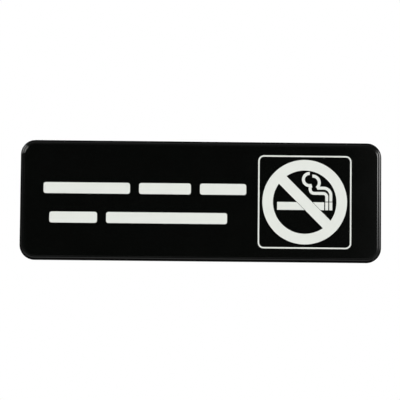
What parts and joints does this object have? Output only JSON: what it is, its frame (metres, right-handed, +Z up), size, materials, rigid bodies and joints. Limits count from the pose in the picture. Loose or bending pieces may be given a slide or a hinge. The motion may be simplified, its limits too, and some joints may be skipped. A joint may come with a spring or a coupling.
{
  "type": "no smoking sign",
  "caption": "Slim black moulded wall sign with a stepped rim, a white printed no smoking symbol and plain message bars, and foam tape in its hollow back.",
  "frame": {"origin": "centre of the sign, in the plane where the rim of its back meets the wall", "axes": "+X along the width, to the right as the sign is read; +Z up; +Y into the wall, so the printed face looks towards -Y"},
  "size_m": [0.2286, 0.0038, 0.0762],
  "materials": {
    "panel_black": "gloss",
    "ink_white": "satin",
    "tape_foam": "matte",
    "liner_paper": "satin"
  },
  "bodies": {
    "root": {"sign_panel": "panel_black", "symbol_border": "ink_white", "prohibition_ring": "ink_white", "cigarette_print": "ink_white", "smoke_print": "ink_white", "message_bars": "ink_white", "foam_tape_left": "tape_foam", "foam_tape_right": "tape_foam", "release_liner_left": "liner_paper", "release_liner_right": "liner_paper"}
  },
  "joints": []
}
